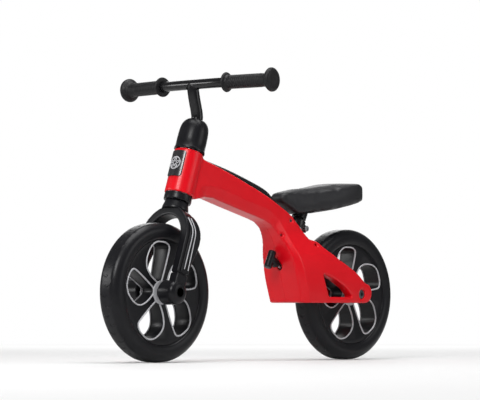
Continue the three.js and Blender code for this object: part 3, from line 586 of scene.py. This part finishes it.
# ---------------------------------------------------------------- wheels
@dataclass
class Wheel:
    """A cored wheel: foam tyre, plastic core with petal openings, hub plates and axle nuts."""

    end: str
    place: Matrix
    phase: float
    carrier: str
    nut_seat: float
    radius: float = 125.0
    tread: float = 13.5
    half_width: float = 23.5
    rim: float = 95.0
    rim_half: float = 19.0
    hub: float = 21.5
    hub_half: float = 14.5
    petals: int = 5
    lip_radius: float = 1.45
    sipes: int = 22
    sipe_radius: float = 0.85
    shoulder_slope: float = 0.42

    @property
    def body(self) -> str:
        """The body that the wheel turns with."""
        return f"{self.end}_wheel"

    def dish(self, r: float) -> float:
        """How far out the core's face lies at a radius."""
        share = min(max((r - self.hub) / (self.rim - 8 - self.hub), 0), 1)
        return self.hub_half + (self.rim_half - self.hub_half) * share

    def petal(self) -> Points:
        """One petal opening's outline, pointing up the Y axis of its drawing."""
        tip = self.rim - 5
        corners = [(0, 20.5), (8, 17.5), (18, 22), (31, 31), (40.5, 43), (42.5, 57), (38, 72),
                   (31, 82.5), (20, tip - 0.5), (8, tip + 0.6), (-4, tip - 0.6), (-12.6, tip - 6.5),
                   (-12.8, tip - 17), (-9, 54), (-5, 37)]
        return through(corners, 5, closed=True)

    def make_tyre(self) -> None:
        """The foam tyre with shallow hooked cuts round its tread."""
        w, r = self.half_width, self.radius
        half = [(self.rim + 0.3, w - 4.5), (self.rim + 2.5, w - 2.2), (self.rim + 7, w - 0.6),
                (self.rim + 14, w), (self.rim + 19.5, w - 1.0), (self.rim + 24, w - 3.6),
                (self.rim + 27.6, w - 7.0), (r - 0.35, self.tread - 0.5)]
        crown = through(half, 3) + [(r, self.tread - 5)]
        profile = crown + [(x, -y) for x, y in reversed(crown)]
        tyre = lathe(f"{self.end}_tyre_foam", profile, 128, ALONG_Y)
        cutters = [self.make_sipe(side, i) for side in Side for i in range(self.sipes)]
        cut(tyre, joined(cutters))
        settle(tyre, self.body, FOAM, self.place, (f"{self.end}_tyre",), 40)

    def make_sipe(self, side: Side, index: int) -> bpy.types.Object:
        """The cutter for one hooked cut in the tread.

        Args:
            side: the side of the tread that it is on.
            index: its number round the tyre.

        Returns:
            The cutter, a thin rod bent along the hook.
        """
        hook = [(-10, 17.5), (-3.5, 15), (3, 11), (7.5, 5.5), (9.2, 0.5), (6.2, -1.5), (4.8, 1.2)]
        half_step = 0.5 if side is Side.RIGHT else 0
        turn = 2 * math.pi * (index + half_step) / self.sipes
        shoulder = self.tread - 1
        path = []
        for along, across in through(hook, 4):
            angle = turn + along / self.radius
            out = self.radius + 0.1 - max(across - shoulder, 0) * self.shoulder_slope
            path.append((out * math.sin(angle), side.value * across, out * math.cos(angle)))
        return tube("groove", path, self.sipe_radius, 8)

    def make_core(self) -> None:
        """The dished core with its petal openings."""
        face = [(11.3, self.hub_half), (self.hub, self.hub_half), (self.rim - 8, self.rim_half),
                (self.rim, self.rim_half)]
        profile = [(x, -y) for x, y in face] + list(reversed(face))
        core = lathe(f"{self.end}_core", rounded(profile, 1.2, 3), 128, ALONG_Y)
        for i in range(self.petals):
            opening = prism("opening", self.petal(), -30, 30, self.petal_turn(i))
            cut(core, opening)
        sharp = math.radians(50)
        finish_with(core, "BEVEL", width=0.8, segments=2, limit_method="ANGLE", angle_limit=sharp)
        settle(core, self.body, CORE, self.place, (f"{self.end}_wheel_core",))

    def petal_turn(self, index: int) -> Matrix:
        """The turn that takes a drawn petal to its place on the wheel.

        Args:
            index: the petal's number round the wheel.

        Returns:
            The turn.
        """
        upright = Matrix.Rotation(math.pi / 2, 4, "X")
        spin = Matrix.Rotation(2 * math.pi * index / self.petals - math.radians(self.phase), 4, "Y")
        return spin @ upright

    def make_lips(self) -> None:
        """The light lip that runs round each petal opening, on both faces."""
        rods = []
        for side in Side:
            for i in range(self.petals):
                turn = self.petal_turn(i)
                path = []
                for x, y in self.petal():
                    spot = turn @ Vector((x, y, 0))
                    radius = math.hypot(spot.x, spot.z)
                    path.append((spot.x, side.value * (self.dish(radius) + 0.1), spot.z))
                rods.append(tube("lip", path, self.lip_radius, 12, closed=True))
        lips = joined(rods)
        lips.name = lips.data.name = f"{self.end}_petal_lips"
        settle(lips, self.body, GREY, self.place)

    def make_hub(self) -> None:
        """The hub plates and the socket-headed axle nuts."""
        for side in Side:
            turn = ALONG_Y if side is Side.LEFT else ALONG_Y @ Matrix.Rotation(math.pi, 4, "X")
            low = self.hub_half + 0.3
            plate = [(4.4, low), (self.hub, low), (self.hub, low + 2), (4.4, low + 2)]
            disc = lathe(f"{self.end}_hub_disc_{side.word}", rounded(plate, 0.8, 3), 64, turn)
            settle(disc, self.body, GREY, self.place, (f"{self.end}_hub_plate_{side.word}",))
            seat = self.nut_seat + 0.3
            section = [(0, seat), (8.4, seat), (8.4, seat + 5.7), (0, seat + 5.7)]
            nut = lathe(f"{self.end}_socket_nut_{side.word}", rounded(section, 1.0, 3), 48)
            cut(nut, hexagon(4.6, 8, seat + 6.5))
            nut.data.transform(turn)
            # The nuts take the darkened steel, whose dark colour is painted shade for the recess round
            # them.
            settle(nut, self.carrier, STEEL_DARKENED_AS_HOLE_SHADE, self.place, (f"{self.end}_axle_nut_{side.word}",))

    def make(self) -> None:
        """Builds the whole wheel."""
        self.make_tyre()
        self.make_core()
        self.make_lips()
        self.make_hub()


# ---------------------------------------------------------------- fork
@dataclass
class Fork:
    """The arched fork with its crown collar, leg fairings and axle bosses."""

    leg_outer: float = 59.0
    leg_width: float = 17.0
    arch_centre: float = 100.0
    arch_rise: float = 62.0
    boss_radius: float = 22.0
    boss_inner: float = 26.0
    boss_outer: float = 63.0
    stripe_radius: float = 1.15

    def make_arch(self) -> None:
        """The arched crown and both legs."""
        arch = copy_of(["fork"], "fork_arch", STEERING)
        mould(arch, 1.3, 8)
        settle(arch, "steering", BLACK, STEERING, ("fork",), 60)

    def make_collar(self) -> None:
        """The tapered collar between the crown and the headset."""
        profile = [(14.3, 158), (24.6, 157), (24.2, 161), (22.4, 168), (21.2, 172.6), (14.3, 172.6)]
        collar = lathe("tapered_collar", rounded(profile, 0.8, 3), 72)
        settle(collar, "steering", BLACK, STEERING, ("crown_collar",))

    def skin(self, s: float) -> float:
        """How far out a fairing's skin lies.

        Args:
            s: the height up the leg.

        Returns:
            The distance from the middle plane.
        """
        outer = self.leg_outer + 2.6
        if s <= self.arch_centre:
            return outer
        share = (s - self.arch_centre) / (self.arch_rise + 2.6)
        return outer * math.sqrt(max(0.0, 1 - share * share))

    def make_fairing(self, side: Side) -> None:
        """A leg's fairing and the two light stripes on it.

        Args:
            side: the side of the bike.
        """
        fairing = copy_of([f"fork_fairing_{side.word}"], f"leg_fairing_{side.word}", STEERING)
        mould(fairing, 1.1, 8)
        settle(fairing, "steering", BLACK, STEERING, (f"fork_fairing_{side.word}",), 60)
        lines = [[(2.5, 43), (2.4, 70), (2.0, 100), (2.6, 118), (7.2, 129), (11.2, 138)],
                 [(-7, 43), (-6.4, 70), (-5.6, 100), (-4.6, 118), (0.2, 130), (3.6, 139)]]
        for i, line in enumerate(lines):
            path = [(f, side.value * (self.skin(s) - 0.25), s) for f, s in through(line, 6)]
            stripe = tube(f"leg_stripe_{side.word}_{i + 1}", path, self.stripe_radius, 12)
            settle(stripe, "steering", GREY, STEERING)

    def make_boss(self, side: Side) -> None:
        """The drum and socket block at the foot of a leg.

        Args:
            side: the side of the bike.
        """
        inner, outer, r = self.boss_inner, self.boss_outer, self.boss_radius
        profile = [(0, inner), (r - 1, inner), (r, inner + 2), (r, outer - 9), (r - 2.6, outer - 3.5),
                   (r - 8, outer - 0.4), (r - 10.5, outer), (0, outer)]
        drum = lathe(f"boss_drum_{side.word}", rounded(profile, 2.5, 4), 96, ALONG_Y)
        leg_inner = self.leg_outer - self.leg_width
        leg = block("leg_socket", (-12, leg_inner - 1, 0), (15, self.leg_outer + 2, 33.7), 2.5)
        cut(drum, leg, "UNION")
        section = [(0, outer - 9), (9.2, outer - 9), (9.2, outer + 4), (0, outer + 4)]
        mould(drum, 0.9, 5)
        cut(drum, lathe("recess", section, 48, ALONG_Y))
        if side is Side.RIGHT:
            drum.data.transform(MIRROR)
            drum.data.flip_normals()
        settle(drum, "steering", BLACK, STEERING, (f"axle_boss_{side.word}",), 60)

    def make(self) -> None:
        """Builds the whole fork."""
        self.make_arch()
        self.make_collar()
        for side in Side:
            self.make_fairing(side)
            self.make_boss(side)


# ---------------------------------------------------------------- head, stem and handlebar
@dataclass
class Cockpit:
    """The headset cup, the split dome over the head, the stem post and the handlebar."""

    cover_radius: float = 28.5
    cover_foot: float = 271.5
    cover_top: float = 333.0
    stem_radius: float = 11.0
    bar_radius: float = 9.2
    bar_forward: float = 31.0
    bar_height: float = 391.0
    bar_half: float = 181.0
    sweep: float = math.radians(7.6)
    bend: float = 54.0
    bend_blend: float = 14.0

    def make_cup(self) -> None:
        """The black ring under the red head."""
        profile = [(15, 173.4), (24.5, 173.4), (25.5, 175), (25.5, 186), (22.5, 186), (22.5, 176.4),
                   (15, 176.4)]
        cup = lathe("headset_ring", rounded(profile, 0.7, 3), 72)
        settle(cup, "frame", BLACK, STEERING, ("lower_headset_cup",))

    def make_dome(self) -> None:
        """The dome, slit at the back, with a bead round its foot."""
        r, low, top = self.cover_radius, self.cover_foot, self.cover_top
        outer = [(r, low), (r, low + 3.2), (r - 0.9, low + 4.6), (r - 1.0, low + 20),
                 (r - 1.7, top - 24), (r - 3.8, top - 12.5), (r - 8.5, top - 4.4),
                 (r - 14.2, top - 0.6), (r - 15.8, top)]
        skin = rounded(outer[:3], 0.4, 2, (0, 2)) + through(outer[3:], 5)
        inner = [(11.4, top), (11.4, top - 3), (r - 12, top - 3.4), (r - 7, top - 14),
                 (r - 3.2, top - 30), (r - 3, low)]
        dome = lathe("stem_dome", skin + inner, 96)
        cut(dome, block("slit", (-40, -1.1, low - 2), (-12, 1.1, top - 30)))
        settle(dome, "steering", BLACK, STEERING, ("stem_cover",), 40)

    def make_stem(self) -> None:
        """The stem post, which bends forward to the bar."""
        start, straight = Vector((0, 190)), Vector((0, 333.5))
        bar = Vector((self.bar_forward, self.bar_height))
        control = [straight, straight + Vector((0, 12)), bar + Vector((-11, -27)), bar + Vector((-0.8, -2))]
        path = [(start.x, 0, start.y)]
        for i in range(25):
            t = i / 24
            a, b, c = (control[k].lerp(control[k + 1], t) for k in range(3))
            spot = a.lerp(b, t).lerp(b.lerp(c, t), t)
            path.append((spot.x, 0, spot.y))
        stem = tube("bent_stem", path, self.stem_radius, 40)
        settle(stem, "handlebars", PAINT, STEERING, ("stem_post",))

    @property
    def level(self) -> Matrix:
        """The bar's own frame, level with the ground although the post leans."""
        middle = Matrix.Translation((self.bar_forward, 0, self.bar_height))
        return middle @ Matrix.Rotation(HEAD_LEAN, 4, "Y")

    def bar_line(self) -> list[tuple[float, float, float]]:
        """The handlebar's middle line, swept back towards its ends."""
        line = []
        for i in range(-44, 45):
            y = self.bar_half * i / 44
            over = abs(y) - self.bend
            back = math.tan(self.sweep) * (over + math.hypot(over, self.bend_blend)) / 2
            line.append(tuple(self.level @ Vector((0.5 - back, y, 0))))
        return line

    def make_bar(self) -> None:
        """The handlebar, with a weld bead where it meets the stem."""
        bar = tube("swept_bar", self.bar_line(), self.bar_radius, 36)
        settle(bar, "handlebars", PAINT, STEERING, ("handlebar",))
        path = []
        for i in range(40):
            angle = 2 * math.pi * i / 40
            x = (self.stem_radius + 0.2) * math.cos(angle)
            y = (self.stem_radius + 0.2) * math.sin(angle)
            drop = math.sqrt(max(0.0, self.bar_radius ** 2 - (x * 0.8) ** 2))
            path.append((self.bar_forward + x * 0.93 - 1.2, y, self.bar_height - drop - 0.3))
        bead = tube("stem_weld", path, 1.1, 8, closed=True)
        settle(bead, "handlebars", PAINT, STEERING)

    def make_grip(self, side: Side) -> None:
        """A rubber grip with a guard ring, fine ribs and a mushroom end.

        Args:
            side: the side of the bike.
        """
        start, end, r = 79.0, self.bar_half + 5, 12.3
        bore = self.bar_radius + 0.4
        blind = self.bar_half / math.cos(self.sweep) + 0.3
        profile: Points = [(0, blind), (bore, blind), (bore, start), (17, start), (18.5, start + 2),
                           (17.3, start + 4.4), (14, start + 6), (r, start + 8.5)]
        y = start + 14
        while y < end - 26:
            profile += [(r, y), (r + 0.45, y + 0.6), (r + 0.45, y + 1.8), (r, y + 2.4)]
            y += 4.8
        profile += [(r, end - 18), (r + 1.5, end - 14.5), (19, end - 11.2), (22, end - 7.4),
                    (21.6, end - 3.6), (18.5, end - 0.8), (14, end), (8, end - 0.3), (0, end - 0.6)]
        grip = lathe(f"rubber_grip_{side.word}", rounded(profile, 1.0, 2), 56, ALONG_Y)
        drop = math.tan(self.sweep) * self.bend
        turn = self.sweep if side is Side.LEFT else math.pi - self.sweep
        swept = Matrix.Translation((drop, 0, 0)) @ Matrix.Rotation(turn, 4, "Z")
        grip.data.transform(self.level @ swept)
        settle(grip, "handlebars", GRIP, STEERING, (f"grip_{side.word}",), 50)

    def make(self) -> None:
        """Builds everything above the head."""
        self.make_cup()
        self.make_dome()
        self.make_stem()
        self.make_bar()
        for side in Side:
            self.make_grip(side)


# ---------------------------------------------------------------- body
def round_angles(count: int) -> np.ndarray:
    """Evenly spaced angles round a circle."""
    return np.linspace(0, 2 * math.pi, count, endpoint=False)


@dataclass
class Body:
    """The two-half red body, its spine tube and badge."""

    voxel: float = 1.9
    passes: int = 8
    beam_band: float = 21.0
    leg_band: float = 15.0
    beam_tuck: float = 0.17
    leg_tuck: float = 0.15
    seam: float = 0.15
    spine_radius: float = 11.0

    def lower_edge(self) -> np.ndarray:
        """The line under the beam and down the front of the leg, in side view."""
        beam = [(148, 299), (125, 298), (98, 292), (73, 284.5), (35, 274), (-2, 265), (-20, 259.5)]
        leg = [(-38, 249), (-52, 230), (-62, 210), (-71, 186), (-80, 152), (-88, 126), (-94, 108)]
        return np.array(beam + leg, float)

    def tuck_in(self, piece: bpy.types.Object) -> None:
        """Draws the sides in towards the lower edge, which leaves a crease along the beam and leg.

        Args:
            piece: the moulded body, in millimetres.
        """
        mesh = piece.data
        co = np.empty(len(mesh.vertices) * 3)
        mesh.vertices.foreach_get("co", co)
        co = co.reshape(-1, 3)
        line = self.lower_edge()
        side = co[:, (0, 2)]
        near = np.full(len(co), 1e9)
        for a, b in zip(line[:-1], line[1:]):
            along = b - a
            t = np.clip(((side - a) @ along) / (along @ along), 0, 1)
            near = np.minimum(near, np.hypot(*(side - a - t[:, None] * along).T))
        leg = np.clip((-20 - co[:, 0]) / 45, 0, 1)
        band = self.beam_band + (self.leg_band - self.beam_band) * leg
        tuck = self.beam_tuck + (self.leg_tuck - self.beam_tuck) * leg
        share = np.clip(1 - near / band, 0, 1)
        co[:, 1] *= 1 - tuck * share
        mesh.vertices.foreach_set("co", co.ravel())
        mesh.update()

    def close_seam(self, whole: bpy.types.Object) -> None:
        """Draws both halves to the middle plane and takes away the faces where they meet.

        Args:
            whole: both halves in one mesh.
        """
        mesh = whole.data
        for vertex in mesh.vertices:
            if abs(vertex.co.y) < self.seam + 0.06:
                vertex.co.y = 0
        pick(whole)
        bpy.ops.object.mode_set(mode="EDIT")
        bpy.ops.mesh.select_mode(type="FACE")
        bpy.ops.object.mode_set(mode="OBJECT")
        for polygon in mesh.polygons:
            polygon.select = all(abs(mesh.vertices[v].co.y) < 1e-6 for v in polygon.vertices)
        bpy.ops.object.mode_set(mode="EDIT")
        bpy.ops.mesh.delete(type="FACE")
        bpy.ops.object.mode_set(mode="OBJECT")
        edit(whole, merge(0.08), outward)

    def make_shells(self) -> None:
        """Both halves, moulded as one shape and then parted at the seam."""
        whole = copy_of(["left_shell", "right_shell"], "red_body")
        self.close_seam(whole)
        mould(whole, self.voxel, self.passes)
        self.tuck_in(whole)
        reach = 600
        for side in Side:
            half = whole.copy()
            half.data = whole.data.copy()
            half.name = half.data.name = f"body_half_{side.word}"
            bpy.context.scene.collection.objects.link(half)
            y = sorted((side.value * self.seam, side.value * reach))
            keep = block("half_space", (-reach, y[0], -reach), (reach, y[1], reach))
            cut(half, keep, "INTERSECT")
            settle(half, "frame", RED, WORLD, (f"{side.word}_shell",), 50)
        bpy.data.objects.remove(whole)

    def make_spine(self) -> None:
        """The black steel tube along the top of the beam."""
        places = [(172, 368), (147, 360.8), (88, 346.5), (33, 330.5), (-22, 311.5), (-44, 296), (-62, 278)]
        spine = tube("spine_rod", [(x, 0, z) for x, z in through(places, 8)], self.spine_radius, 40)
        settle(spine, "frame", PAINT, WORLD, ("spine_tube",))

    def make_badge(self) -> None:
        """A dark plate on the head with a plain five-petal wheel symbol."""
        radius, low, high, half, corner = 27.4, 214.5, 264.0, 16.5, 4.5
        outline = []
        for cx, cy, start in ((half - corner, high - corner, 0), (corner - half, high - corner, 90),
                              (corner - half, low + corner, 180), (half - corner, low + corner, 270)):
            for k in range(6):
                angle = math.radians(start + 18 * k)
                outline.append((cx + corner * math.cos(angle), cy + corner * math.sin(angle)))
        facing = Matrix(((0, 0, 1, 0), (1, 0, 0, 0), (0, 1, 0, 0), (0, 0, 0, 1)))
        plate = prism("head_badge", outline, 5, 45, facing)
        back, front = radius - 0.1, radius + 1.3
        section = [(back, low - 4), (front, low - 4), (front, high + 4), (back, high + 4)]
        sleeve = lathe("sleeve", section, 160)
        cut(plate, sleeve, "INTERSECT")
        settle(plate, "frame", BADGE, STEERING, ("badge_plate",), 40)
        middle = (low + high) / 2

        def on_head(y: float, s: float) -> tuple[float, float, float]:
            """A point on the plate's face."""
            angle = y / (radius + 1.3)
            return ((radius + 1.35) * math.cos(angle), (radius + 1.35) * math.sin(angle), s)

        rim = [(11.2 * math.cos(a), 11.2 * math.sin(a)) for a in round_angles(48)]
        rods = [tube("ring", [on_head(x, middle + y) for x, y in rim], 1.1, 8, True)]
        for i in range(5):
            turn = Matrix.Rotation(math.radians(90 + 72 * i), 2)
            petal = [turn @ Vector((6.3 + 2.9 * math.cos(a), 2.0 * math.sin(a))) for a in round_angles(20)]
            rods.append(tube("ring", [on_head(x, middle + y) for x, y in petal], 0.9, 8, True))
        symbol = joined(rods)
        symbol.name = symbol.data.name = "badge_wheel_symbol"
        settle(symbol, "frame", GREY, STEERING)

    def make(self) -> None:
        """Builds the whole body."""
        self.make_shells()
        self.make_spine()
        self.make_badge()


# ---------------------------------------------------------------- saddle and its clamp
@dataclass
class Saddle:
    """The padded saddle, its post, the collar and the T-shaped knob."""

    voxel: float = 5.0
    pressure: float = 4.0
    stiffness: float = 25.0
    bending: float = 4.0
    steps: int = 20
    most: float = 6.0
    post_radius: float = 9.5

    def make_cushion(self) -> None:
        """The vinyl cushion, puffed up by a cloth simulation."""
        pad = copy_of(["seat_pad"], "saddle_cushion")
        pad.data.transform(Matrix.Scale(MM, 4))
        finish_with(pad, "REMESH", mode="VOXEL", voxel_size=self.voxel * MM, use_smooth_shade=True)
        finish_with(pad, "SMOOTH", factor=0.5, iterations=5)
        middle = sum((v.co for v in pad.data.vertices), Vector()) / len(pad.data.vertices)
        shrink = Matrix.Diagonal((0.975, 0.95, 0.90, 1))
        pad.data.transform(Matrix.Translation(middle) @ shrink @ Matrix.Translation(-middle))
        self.puff(pad)
        finish_with(pad, "SMOOTH", factor=0.5, iterations=3)
        finish_with(pad, "SUBSURF", levels=1, render_levels=1)
        pad.data.transform(Matrix.Scale(1 / MM, 4))
        settle(pad, "saddle", VINYL, WORLD, ("seat_pad",), 180)

    def puff(self, pad: bpy.types.Object) -> None:
        """Runs the cloth simulation on the cushion and applies it.

        Args:
            pad: the cushion, in metres.
        """
        start = np.empty(len(pad.data.vertices) * 3)
        pad.data.vertices.foreach_get("co", start)
        pick(pad)
        cloth = pad.modifiers.new("cloth", "CLOTH")
        cloth.settings.use_pressure = True
        cloth.settings.uniform_pressure_force = self.pressure
        cloth.settings.effector_weights.gravity = 0
        cloth.settings.tension_stiffness = self.stiffness
        cloth.settings.compression_stiffness = self.stiffness
        cloth.settings.bending_stiffness = self.bending
        scene = bpy.context.scene
        for number in range(1, self.steps + 1):
            scene.frame_set(number)
        bpy.ops.object.modifier_apply(modifier=cloth.name)
        scene.frame_set(1)
        end = np.empty_like(start)
        pad.data.vertices.foreach_get("co", end)
        move = (end - start).reshape(-1, 3)
        far = np.linalg.norm(move, axis=1, keepdims=True)
        limit = self.most * MM
        move *= np.minimum(1, limit / np.maximum(far, 1e-9))
        pad.data.vertices.foreach_set("co", start + move.ravel())
        pad.data.update()

    def make_post(self) -> None:
        """The seat post, its collar and the collar's bolt."""
        r = self.post_radius
        post = lathe("round_seat_post", rounded([(0, 8), (r, 8), (r, 117), (0, 117)], 0.6, 2), 48)
        settle(post, "saddle", PAINT, SEATING, ("seat_post",))
        ring = lathe("collar_ring", rounded([(12.8, 84), (15.5, 84), (15.5, 98), (12.8, 98)], 0.8, 3), 56)
        lug = block("lug", (-25.5, -6, 84), (-13.4, 6, 98), 2.2)
        cut(ring, lug, "UNION")
        cut(ring, block("pinch", (-28, -0.9, 82), (-12.4, 0.9, 100)))
        bolt_place = Matrix.Translation((-20.1, 0, 91)) @ ALONG_Y
        cut(ring, lathe("hole", [(0, -12), (3.1, -12), (3.1, 12), (0, 12)], 24, bolt_place))
        settle(ring, "frame", PAINT, SEATING, ("seat_collar",))
        head = [(0, 6.3), (5.6, 6.3), (5.6, 9.8), (0, 9.8)]
        bolt = lathe("collar_screw", rounded(head, 0.9, 3), 40)
        cut(bolt, hexagon(2.9, 4, 10))
        shank = lathe("shank", [(0, -9), (2.6, -9), (2.6, 6.9), (0, 6.9)], 24)
        cut(bolt, shank, "UNION")
        bolt.data.transform(bolt_place)
        settle(bolt, "frame", STEEL, SEATING, ("seat_collar_bolt",))

    def make_knob(self) -> None:
        """The T-shaped knob with its rounded hub."""
        knob = copy_of(["seat_knob"], "tee_knob", SEATING)
        mould(knob, 0.7, 3)
        settle(knob, "knob", BLACK, SEATING, ("seat_knob",), 60)

    def make(self) -> None:
        """Builds the saddle and its clamp."""
        self.make_cushion()
        self.make_post()
        self.make_knob()


# ---------------------------------------------------------------- studio
@dataclass
class Studio:
    """The pale floor, the soft lights and the camera."""

    eye: tuple[float, float, float] = (3.8177, 3.4742, 0.0790)
    target: tuple[float, float, float] = (0.0350, 0.0, 0.2981)
    lens: float = 207.9
    floor_radius: float = 4.0
    floor_drop: float = -0.0004
    fade_from: float = 0.2
    fade_to: float = 3.6
    sky_as_light: float = 0.17

    def make_floor(self) -> None:
        """A round pale floor that fades into the white surround."""
        bpy.ops.object.select_all(action="DESELECT")
        bpy.ops.mesh.primitive_circle_add(vertices=96, radius=self.floor_radius, fill_type="NGON",
                                          location=(0, 0, self.floor_drop))
        floor = bpy.context.object
        floor.name = "studio_floor"
        material = bpy.data.materials.new("pale_floor")
        material.use_nodes = True
        nodes, link = material.node_tree.nodes, material.node_tree.links.new
        shader = nodes["Principled BSDF"]
        shader.inputs["Base Color"].default_value = (0.64, 0.64, 0.64, 1)
        shader.inputs["Roughness"].default_value = 0.7
        shader.inputs["Specular IOR Level"].default_value = 0.05
        glow = nodes.new("ShaderNodeEmission")
        distance = nodes.new("ShaderNodeVectorMath")
        distance.operation = "LENGTH"
        link(nodes.new("ShaderNodeTexCoord").outputs["Object"], distance.inputs[0])
        fade = nodes.new("ShaderNodeMapRange")
        fade.interpolation_type = "SMOOTHSTEP"
        fade.inputs["From Min"].default_value = self.fade_from
        fade.inputs["From Max"].default_value = self.fade_to
        link(distance.outputs["Value"], fade.inputs["Value"])
        seen = nodes.new("ShaderNodeMath")
        seen.operation = "MULTIPLY"
        link(fade.outputs["Result"], seen.inputs[0])
        link(nodes.new("ShaderNodeLightPath").outputs["Is Camera Ray"], seen.inputs[1])
        blend = nodes.new("ShaderNodeMixShader")
        link(seen.outputs["Value"], blend.inputs["Fac"])
        link(shader.outputs["BSDF"], blend.inputs[1])
        link(glow.outputs["Emission"], blend.inputs[2])
        link(blend.outputs["Shader"], nodes["Material Output"].inputs["Surface"])
        floor.data.materials.append(material)

    def make_sky(self) -> None:
        """A plain white surround, dimmer as a light than as a backdrop."""
        world = bpy.data.worlds.new("white_surround")
        bpy.context.scene.world = world
        world.use_nodes = True
        nodes, link = world.node_tree.nodes, world.node_tree.links.new
        back = nodes["Background"]
        back.inputs["Color"].default_value = (1, 1, 1, 1)
        seen = nodes.new("ShaderNodeLightPath").outputs["Is Camera Ray"]
        strength = nodes.new("ShaderNodeMapRange")
        strength.inputs["To Min"].default_value = self.sky_as_light
        strength.inputs["To Max"].default_value = 1.0
        link(seen, strength.inputs["Value"])
        link(strength.outputs["Result"], back.inputs["Strength"])

    def make_light(self, name: str, place: tuple[float, float, float], size: float,
                   power: float) -> None:
        """One soft square light that faces the bike.

        Args:
            name: the light's name.
            place: where it hangs.
            size: the length of its sides.
            power: its power in watts.
        """
        data = bpy.data.lights.new(name, "AREA")
        data.size = size
        data.energy = power
        light = bpy.data.objects.new(name, data)
        light.location = place
        aim = Vector((0, 0, 0.25)) - Vector(place)
        light.rotation_euler = aim.to_track_quat("-Z", "Y").to_euler()
        bpy.context.scene.collection.objects.link(light)

    def make_camera(self) -> None:
        """The camera, level with the wheels and a little ahead of the bike's left side."""
        data = bpy.data.cameras.new("camera")
        data.sensor_width = 36
        data.lens = self.lens
        data.clip_end = 100
        camera = bpy.data.objects.new("camera", data)
        camera.location = self.eye
        aim = Vector(self.target) - Vector(self.eye)
        camera.rotation_euler = aim.to_track_quat("-Z", "Y").to_euler()
        bpy.context.scene.collection.objects.link(camera)
        bpy.context.scene.camera = camera

    def make(self) -> None:
        """Sets up the whole studio."""
        self.make_floor()
        self.make_sky()
        self.make_light("overhead", (0.0, 0.3, 2.4), 1.8, 52)
        self.make_light("key", (2.2, 1.0, 1.7), 0.8, 46)
        self.make_light("front_right", (1.9, -1.7, 0.9), 0.7, 14)
        self.make_light("side_fill", (-1.2, 2.4, 1.0), 1.2, 10)
        self.make_light("behind", (-2.0, -1.8, 1.0), 2.0, 30)
        self.make_camera()
        bpy.context.scene.view_settings.view_transform = "Standard"


def dress_frame() -> None:
    """Gives every carried-over CAD node its finish, by its material slot in the record."""
    slots = {s["node"]: s["material_slot"] for s in frame["record"]["subparts"]}
    for name, node in frame["nodes"].items():
        finish = FINISHES[slots[name]]
        # Body screws take the darkened steel, whose dark colour is painted shade for the holes they sit in.
        if name.startswith("body_screw"):
            finish = STEEL_DARKENED_AS_HOLE_SHADE
        dress(node, finish)


def main() -> None:
    """Builds the bike's pieces and the studio in order."""
    logging.basicConfig(level=logging.INFO, format="%(name)s: %(message)s")
    dress_frame()
    Wheel("front", FRONT_AXLE, 2.9, "steering", 54.0).make()
    Wheel("rear", REAR_AXLE, 0.0, "frame", 40.0).make()
    Fork().make()
    Cockpit().make()
    Body().make()
    Saddle().make()
    Studio().make()


if __name__ == "__main__":
    main()
